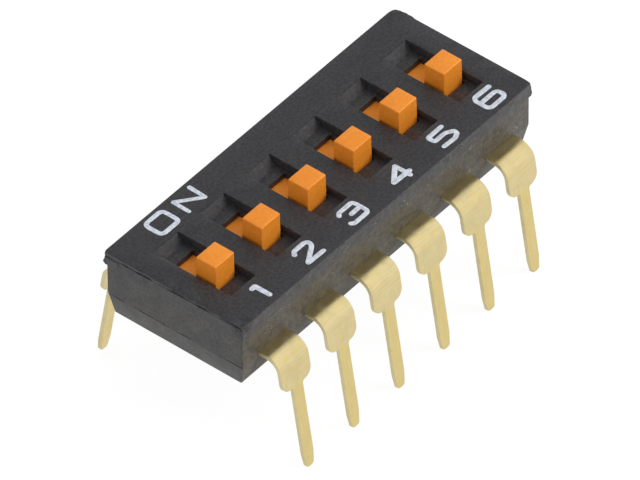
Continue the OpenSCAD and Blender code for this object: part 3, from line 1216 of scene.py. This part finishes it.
@dataclass
class Terminal:
    """A formed terminal: a stamped blank with rounded corners, bent over the base's edge."""

    layout: Layout
    finish: Material
    bend_y: float = 3.39
    outer_radius: float = 0.70
    flare: float = 8.5
    seat: float = 3.66
    shoulder_width: float = 1.55
    shoulder_radius: float = 0.40
    root_radius: float = 0.10
    pin_width: float = 0.53
    tip_width: float = 0.36
    tip_length: float = 0.60
    tip_radius: float = 0.11
    pad_width: float = 1.10
    pad_step: float = 0.12
    edge_radius: float = 0.03
    bend_steps: int = 16
    corner_steps: int = 7
    sharp: float = 50

    def build(self, row: Row, number: int) -> Piece:
        """Makes one terminal.

        Args:
            row: the row that it belongs to.
            number: the switch's number.

        Returns:
            The piece, riding on the housing.
        """
        angle = math.radians(90 - self.flare - row.extra_flare)
        bend_end = self.bend_y + self.outer_radius * angle
        centre_z = self.layout.strip_top - self.outer_radius
        end_z = centre_z + self.outer_radius * math.cos(angle)
        fall = math.sin(angle)

        def developed(z: float) -> float:
            return bend_end + (end_z - z) / fall

        bm = self._blank(row, developed, self.layout.strip_thickness * math.cos(angle))
        bend = self.outer_radius * angle
        steps = range(self.bend_steps + 1)
        slice_at(bm, 1, [self.bend_y + bend * i / self.bend_steps for i in steps])
        for vert in bm.verts:
            vert.co = self._bend(vert.co, angle, centre_z, bend_end)
        turn = Matrix.Rotation(0 if row is Row.ON else math.pi, 4, "Z")
        moved = Matrix.Translation((self.layout.centre(number), 0, 0)) @ turn
        bmesh.ops.transform(bm, matrix=moved, verts=bm.verts)
        name = f"formed_{row.node}_{number}"
        piece = make_piece(bm, name, self.finish, self.sharp)
        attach(piece, HOUSING)
        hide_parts(f"{row.node}_{number}")
        LOG.info("%s: %d faces", name, len(piece.data.polygons))
        return piece

    def _blank(self, row: Row, developed: Callable[[float], float], tip_z: float) -> Mesh:
        """The flat stamping, its outer face at Z 0.

        Args:
            row: the row that it belongs to.
            developed: gives the length along the strip at which a height is reached.
            tip_z: height at which the outer face ends, so that the inner one ends at Z 0.

        Returns:
            A new bmesh.
        """
        wide, pin = self.shoulder_width / 2, self.pin_width / 2
        tip, pad = self.tip_width / 2, self.pad_width / 2
        wall = self.layout.cavity_half_width
        right = [
            (pad, row.pad_end, 0),
            (pad, wall - self.pad_step, 0),
            (wide, wall, 0),
            (wide, developed(self.seat), self.shoulder_radius),
            (pin, developed(self.seat), self.root_radius),
            (pin, developed(self.tip_length), 0),
            (tip, developed(tip_z), self.tip_radius),
        ]
        bm = bmesh.new()
        corners: dict[float, list[Vert]] = {}
        outline = []
        left = [(-x, along, radius) for x, along, radius in reversed(right)]
        for x, along, radius in right + left:
            vert = bm.verts.new((x, along, 0))
            outline.append(vert)
            if radius:
                corners.setdefault(radius, []).append(vert)
        bm.faces.new(outline)
        for radius, verts in corners.items():
            bevel(bm, verts, radius, self.corner_steps)
        made = bmesh.ops.extrude_face_region(bm, geom=bm.faces[:])
        thickness = self.layout.strip_thickness
        inside = [item for item in made["geom"] if isinstance(item, Vert)]
        bmesh.ops.translate(bm, vec=(0, 0, -thickness), verts=inside)
        bmesh.ops.recalc_face_normals(bm, faces=bm.faces)

        def on_face(edge: Edge) -> bool:
            return is_level_at(edge, 0) or is_level_at(edge, -thickness)

        round_edges(bm, self.edge_radius, 3, on_face)
        return bm

    def _bend(self, flat: Vector, angle: float, centre_z: float, bend_end: float) -> Vector:
        """Takes a point of the flat blank to its place on the bent strip.

        Args:
            flat: the point, with its length along Y.
            angle: how far the strip turns.
            centre_z: height of the bend's axis.
            bend_end: length at which the bend ends.

        Returns:
            The point on the bent strip.
        """
        radius = self.outer_radius + flat.z
        turned = min(max(flat.y - self.bend_y, 0) / self.outer_radius, angle)
        before, after = min(flat.y - self.bend_y, 0), max(flat.y - bend_end, 0)
        out = self.bend_y + before + radius * math.sin(turned) + after * math.cos(turned)
        up = centre_z + radius * math.cos(turned) - after * math.sin(turned)
        return Vector((flat.x, out, up))


@dataclass
class Contact:
    """A spring contact under a slider, which keeps its CAD shape."""

    finish: Material

    def dress(self, number: int, nodes: dict[str, Piece]) -> None:
        """Gives one contact its finish.

        Args:
            number: the switch's number.
            nodes: the CAD nodes by name.
        """
        node = nodes[f"contact_{number}"]
        node.data.materials.clear()
        node.data.materials.append(self.finish)
        LOG.info("contact_%d: dressed", number)


Stroke = list[Point]


@dataclass(frozen=True)
class Sign:
    """One printed sign: its strokes in millimetres about its own centre."""

    strokes: tuple[Stroke, ...]
    bow: float = 0.07
    width: float = 0.19


LETTER_O: Stroke = [
    (0.1, -0.406), (0.479, -0.406), (0.479, 0.406), (-0.479, 0.406), (-0.479, -0.406),
    (0.15, -0.406),
]  # fmt: skip
LETTER_N: Stroke = [(-0.478, -0.37), (-0.462, 0.355), (0.455, -0.36), (0.485, 0.40)]
ONE: Stroke = [(-0.12, 0.315), (0.045, 0.335), (0.05, -0.335)]
TWO: Stroke = [
    (-0.41, 0.24), (-0.28, 0.375), (0.30, 0.375), (0.425, 0.27), (0.35, 0.08), (-0.43, -0.385),
    (0.41, -0.40),
]  # fmt: skip
THREE: Stroke = [
    (-0.43, 0.28), (-0.33, 0.38), (0.35, 0.38), (0.43, 0.28), (0.43, -0.28), (0.34, -0.37),
    (-0.37, -0.37), (-0.46, -0.28),
]  # fmt: skip
THREE_BAR: Stroke = [(-0.07, 0.01), (0.42, 0.02)]
FOUR: Stroke = [(0.25, -0.33), (0.25, 0.365), (-0.44, -0.15), (0.40, -0.175)]
FIVE: Stroke = [
    (0.31, 0.37), (-0.44, 0.36), (-0.44, 0.06), (0.14, 0.06), (0.44, -0.12), (0.41, -0.28),
    (0.17, -0.38), (-0.41, -0.35),
]  # fmt: skip
SIX: Stroke = [
    (0.45, 0.36), (-0.32, 0.38), (-0.44, 0.27), (-0.44, -0.29), (-0.32, -0.395), (0.36, -0.395),
    (0.48, -0.29), (0.48, -0.06), (0.37, 0.03), (-0.36, 0.03),
]  # fmt: skip
SIGNS: dict[str, Sign] = {
    "O": Sign((LETTER_O,), bow=0.22),
    "N": Sign((LETTER_N,), bow=0.03, width=0.175),
    "1": Sign((ONE,), bow=0.05, width=0.21),
    "2": Sign((TWO,)),
    "3": Sign((THREE, THREE_BAR)),
    "4": Sign((FOUR,), bow=0.02, width=0.20),
    "5": Sign((FIVE,)),
    "6": Sign((SIX,)),
}


@dataclass
class Legend:
    """Printed ON and numbers, drawn as single strokes with rounded ends."""

    layout: Layout
    finish: Material
    thickness: float = 0.008
    digit_y: float = -2.43
    digit_shift: float = 0.17
    letter_y: float = 2.477
    letter_o: float = -5.696
    letter_n: float = -4.18
    unevenness: float = 0.12
    bow_steps: int = 6
    cap_turns: tuple[float, ...] = (1.5, 1.1, 0.6, 0)
    cap_least: float = 0.05

    def build(self) -> list[Piece]:
        """Makes every sign.

        Returns:
            The pieces, riding on the housing.
        """
        spots = {"O": (self.letter_o, self.letter_y), "N": (self.letter_n, self.letter_y)}
        for number in self.layout.numbers():
            spots[str(number)] = (self.layout.centre(number) + self.digit_shift, self.digit_y)
        pieces = [self._sign(name, SIGNS[name], spot) for name, spot in spots.items()]
        LOG.info("legends: %s", ", ".join(spots))
        return pieces

    def _sign(self, name: str, sign: Sign, spot: Point) -> Piece:
        """Makes one sign from its strokes.

        Args:
            name: the letter or number.
            sign: its strokes.
            spot: where its centre stands.

        Returns:
            The piece.
        """
        curve = bpy.data.curves.new(f"strokes_{name}", "CURVE")
        curve.dimensions = "3D"
        curve.bevel_depth = sign.width / 2
        curve.bevel_resolution = 3
        curve.use_fill_caps = True
        for stroke in sign.strokes:
            points = self._softened([Vector(corner) for corner in stroke], sign)
            spline = curve.splines.new("POLY")
            spline.points.add(len(points) - 1)
            for point, (at, share) in zip(spline.points, points):
                uneven = noise.noise((Vector((*at, 0)) + Vector((*spot, 0))) * 5)
                point.co = (at.x, at.y, 0, 1)
                point.radius = share * (1 + self.unevenness * uneven)
        drawn = bpy.data.objects.new(f"drawn_{name}", curve)
        mesh = bpy.data.meshes.new_from_object(drawn)
        bpy.data.objects.remove(drawn)
        bpy.data.curves.remove(curve)
        flat = Matrix.Diagonal((1, 1, 2 * self.thickness / sign.width, 1))
        top = box_mm("cover")[1].z
        mesh.transform(Matrix.Scale(MM, 4) @ Matrix.Translation((*spot, top)) @ flat)
        piece = add_piece(mesh, f"legend_{name}", self.finish, sharp=60)
        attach(piece, HOUSING)
        return piece

    def _softened(self, corners: list[Vector], sign: Sign) -> list[tuple[Vector, float]]:
        """Rounds a stroke's corners and ends.

        Args:
            corners: the stroke's corners.
            sign: the sign that it belongs to.

        Returns:
            Points along the stroke, each with its share of the stroke's width.
        """
        points: list[tuple[Vector, float]] = []
        for i, corner in enumerate(corners):
            if 0 < i < len(corners) - 1:
                before, after = corners[i - 1] - corner, corners[i + 1] - corner
                reach = min(sign.bow, before.length / 2, after.length / 2)
                start = corner + before.normalized() * reach
                stop = corner + after.normalized() * reach
                for step in range(self.bow_steps + 1):
                    t = step / self.bow_steps
                    bow = start * (1 - t) ** 2 + corner * 2 * t * (1 - t) + stop * t * t
                    points.append((bow, 1.0))
            else:
                inward = (corners[1] - corner if i == 0 else corners[-2] - corner).normalized()
                cap = [
                    (
                        corner - inward * sign.width / 2 * math.sin(a),
                        max(math.cos(a), self.cap_least),
                    )
                    for a in self.cap_turns
                ]
                points.extend(cap if i == 0 else reversed(cap))
        return points


# Studio


@dataclass(frozen=True)
class Lamp:
    """A square soft box aimed at the switch, with its distance and side in metres."""

    name: str
    direction: tuple[float, float, float]
    distance: float
    size: float
    power: float

    def build(self) -> None:
        """Adds the lamp, which reflections don't show."""
        data = bpy.data.lights.new(self.name, "AREA")
        data.size, data.energy = self.size, self.power
        lamp = bpy.data.objects.new(self.name, data)
        lamp.visible_glossy = False
        towards = Vector(self.direction).normalized()
        turned = towards.to_track_quat("Z", "Y").to_matrix().to_4x4()
        lamp.matrix_world = Matrix.Translation(towards * self.distance) @ turned
        bpy.context.scene.collection.objects.link(lamp)
        LOG.info("lamp %s: %.1f W", self.name, self.power)


WHITE: Colour = (1, 1, 1, 1)
LAMPS = (
    Lamp("key", (0.60, -0.60, 0.52), distance=0.6, size=0.40, power=2.7),
    Lamp("top", (0.0, 0.1, 1.0), distance=0.7, size=0.5, power=0.95),
    Lamp("fill", (-0.8, 0.15, 0.40), distance=0.6, size=0.3, power=0.75),
)


@dataclass
class Studio:
    """Pale floor, soft lamps and the long-lens camera of the photograph."""

    azimuth: float = -50.54
    elevation: float = 43.67
    roll: float = -0.37
    focal_pixels: float = 15578.0
    distance: float = 548.8
    shift_x: float = -0.031
    shift_y: float = 2.593
    image_width: int = 640
    sensor: float = 36.0
    nearest: float = 0.05
    farthest: float = 10.0
    floor_half: float = 3.0
    floor_colour: Colour = (0.8, 0.8, 0.8, 1)
    floor_shade: Colour = (0.12, 0.12, 0.12, 1)
    floor_glow: float = 0.93
    ambient_colour: Colour = (0.96, 0.98, 1, 1)
    ambient: float = 0.40
    mirrored_low: float = 1.08
    mirrored_high: float = 0.36
    mirrored_heights: Point = (0.2, 0.65)
    panel: float = 1.18
    panel_direction: tuple[float, float, float] = (0.3, -0.95, 0.0)
    panel_edges: Point = (-0.18, 0.28)

    def camera(self) -> None:
        """Places the camera by the fit to the photograph."""
        a, e, r = (math.radians(v) for v in (self.azimuth, self.elevation, self.roll))
        back = Vector((math.sin(a) * math.cos(e), -math.cos(a) * math.cos(e), math.sin(e)))
        level = Vector((0, 0, 1)).cross(back).normalized()
        upright = back.cross(level)
        right = level * math.cos(r) + upright * math.sin(r)
        up = upright * math.cos(r) - level * math.sin(r)
        aim = Vector((0, 0, box_mm("cover")[1].z))
        spot = (back * self.distance - right * self.shift_x - up * self.shift_y + aim) * MM
        data = bpy.data.cameras.new("long_lens")
        data.sensor_width = self.sensor
        data.lens = self.focal_pixels * self.sensor / self.image_width
        data.clip_start, data.clip_end = self.nearest, self.farthest
        camera = bpy.data.objects.new("long_lens", data)
        turned = Matrix((right, up, back)).transposed().to_4x4()
        camera.matrix_world = Matrix.Translation(spot) @ turned
        bpy.context.scene.collection.objects.link(camera)
        bpy.context.scene.camera = camera
        LOG.info("camera: %.0f mm lens", data.lens)

    def floor(self) -> None:
        """Adds the pale floor, which camera, mirror and glass rays see as white."""
        bm = bmesh.new()
        bmesh.ops.create_grid(bm, x_segments=2, y_segments=2, size=self.floor_half)
        mesh = bpy.data.meshes.new("floor")
        bm.to_mesh(mesh)
        bm.free()
        material = bpy.data.materials.new("pale_floor")
        material.use_nodes = True
        material.node_tree.nodes.clear()
        graph = Graph(material.node_tree)
        seen, mirrored = self._rays(graph)
        seen = graph.math("MAXIMUM", seen, mirrored)
        matt = graph.node("ShaderNodeBsdfDiffuse", {"Color": self.floor_colour})
        faint = graph.node("ShaderNodeBsdfDiffuse", {"Color": self.floor_shade})
        glow = graph.node("ShaderNodeEmission", {"Color": WHITE, "Strength": self.floor_glow})
        white = graph.node("ShaderNodeAddShader", {0: faint.outputs[0], 1: glow.outputs[0]})
        surface = self._mix(graph, seen, matt, white)
        graph.node("ShaderNodeOutputMaterial", {0: surface.outputs[0]})
        floor = bpy.data.objects.new("floor", mesh)
        mesh.materials.append(material)
        bpy.context.scene.collection.objects.link(floor)

    def world(self) -> None:
        """Sets a white backdrop that darkens overhead in reflections, over a dim even light."""
        world = bpy.data.worlds.new("studio")
        world.use_nodes = True
        world.node_tree.nodes.clear()
        bpy.context.scene.world = world
        graph = Graph(world.node_tree)
        seen, glossy = self._rays(graph)
        direction = graph.node("ShaderNodeTexCoord").outputs["Generated"]
        strengths = (self.mirrored_low, self.mirrored_high)
        overhead = graph.remap(graph.axis(direction, 2), *self.mirrored_heights, *strengths)
        towards = graph.vector("DOT_PRODUCT", direction, self.panel_direction).outputs["Value"]
        panel = graph.remap(towards, *self.panel_edges)
        missing = graph.math("SUBTRACT", self.panel, overhead)
        overhead = graph.total(overhead, graph.product(panel, missing))
        kind = "ShaderNodeBackground"
        mirrored = graph.node(kind, {"Color": WHITE, "Strength": overhead})
        lit = graph.node(kind, {"Color": self.ambient_colour, "Strength": self.ambient})
        backdrop = graph.node(kind, {"Color": WHITE, "Strength": 1.0})
        unseen = self._mix(graph, glossy, lit, mirrored)
        surface = self._mix(graph, seen, unseen, backdrop)
        graph.node("ShaderNodeOutputWorld", {0: surface.outputs[0]})

    @staticmethod
    def _rays(graph: Graph) -> tuple[Socket, Socket]:
        """Whether the camera sees a point, and whether a mirror or glass does.

        Args:
            graph: the graph of the floor or the world.

        Returns:
            Both answers.
        """
        path = graph.node("ShaderNodeLightPath").outputs
        glossy = graph.math("MAXIMUM", path["Is Glossy Ray"], path["Is Transmission Ray"])
        return path["Is Camera Ray"], glossy

    @staticmethod
    def _mix(graph: Graph, share: Socket, a: Node, b: Node) -> Node:
        """One shader where a share is 0, and another where it is 1."""
        return graph.node("ShaderNodeMixShader", {0: share, 1: a.outputs[0], 2: b.outputs[0]})

    def build(self) -> None:
        """Sets up the whole studio."""
        bpy.context.scene.view_settings.view_transform = "Standard"
        self.camera()
        self.floor()
        self.world()
        for lamp in LAMPS:
            lamp.build()


BLACK_COVER = MouldedPlastic(
    name="black_cover_plastic",
    colour=(0.027, 0.027, 0.030, 1),
    tint=(0.033, 0.031, 0.033, 1),
    worn=(0.11, 0.105, 0.10, 1),
    dust=(0.30, 0.29, 0.28, 1),
    roughness=0.42,
    wear=0.15,
    scuff=0.2,
    scuff_share=0.15,
    # the number side's tint is dirt mixed with a painted golden reflection of the terminals
    dirt_and_reflection=(0.100, 0.092, 0.080, 1),
    soiled=0.4,
)
BLACK_BASE = MouldedPlastic(
    name="black_base_plastic",
    colour=(0.034, 0.033, 0.033, 1),
    tint=(0.050, 0.045, 0.040, 1),
    worn=(0.15, 0.14, 0.12, 1),
    dust=(0.35, 0.33, 0.29, 1),
    roughness=0.47,
    specks=Specks(2.6, 0.35, 0.12),
    grain_depth=0.007,
    wear=0.15,
    scuff=0.6,
    scuff_share=0.5,
    # the number side's brown is dirt mixed with a painted golden reflection of the terminals
    dirt_and_reflection=(0.108, 0.086, 0.054, 1),
    soiled=0.75,
)
ORANGE_SLIDER = MouldedPlastic(
    name="orange_slider_plastic",
    colour=(0.88, 0.285, 0.024, 1),
    tint=(0.84, 0.255, 0.020, 1),
    worn=(0.95, 0.42, 0.09, 1),
    dust=(0.50, 0.20, 0.05, 1),
    roughness=0.40,
    specks=Specks(2.6, 0.1, 0.12),
    lint=Specks(4.6, 0.05, 0.26),
    speckle=0.05,
    wear_reach=0.06,
    wear=0.45,
    scuff=0.2,
    scuff_share=0.15,
)
GOLD_TERMINAL = PlatedMetal(
    name="gold_plated_terminal",
    colour=(0.70, 0.60, 0.31, 1),
    warm=(0.71, 0.58, 0.34, 1),
    green=(0.64, 0.57, 0.32, 1),
    sheared=(0.60, 0.53, 0.33, 1),
    streaked=(0.67, 0.52, 0.22, 1),
    pin=(0.70, 0.56, 0.22, 1),
)
GOLD_CONTACT = PlatedMetal(
    name="gold_plated_contact",
    colour=(0.76, 0.58, 0.24, 1),
    warm=(0.78, 0.56, 0.28, 1),
    green=(0.70, 0.57, 0.25, 1),
    sheared=(0.50, 0.38, 0.17, 1),
    streaked=(0.66, 0.50, 0.20, 1),
    pin=(0.70, 0.56, 0.22, 1),
    roughness=0.28,
)


def main() -> None:
    """Builds and dresses every piece, then sets up the studio."""
    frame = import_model()
    effects = Effects()
    effects.build()
    layout = Layout()
    Cover(layout, BLACK_COVER.material(effects)).build()
    Base(layout, BLACK_BASE.material(effects)).build()
    slider = Slider(layout, ORANGE_SLIDER.material(effects))
    terminal = Terminal(layout, GOLD_TERMINAL.material(effects))
    contact = Contact(GOLD_CONTACT.material(effects))
    for number in layout.numbers():
        slider.build(number)
        contact.dress(number, frame["nodes"])
        for row in Row:
            terminal.build(row, number)
    Legend(layout, PrintedInk().material(effects)).build()
    Studio().build()


if __name__ == "__main__":
    logging.basicConfig(level=logging.INFO, format="%(name)s: %(message)s")
    main()
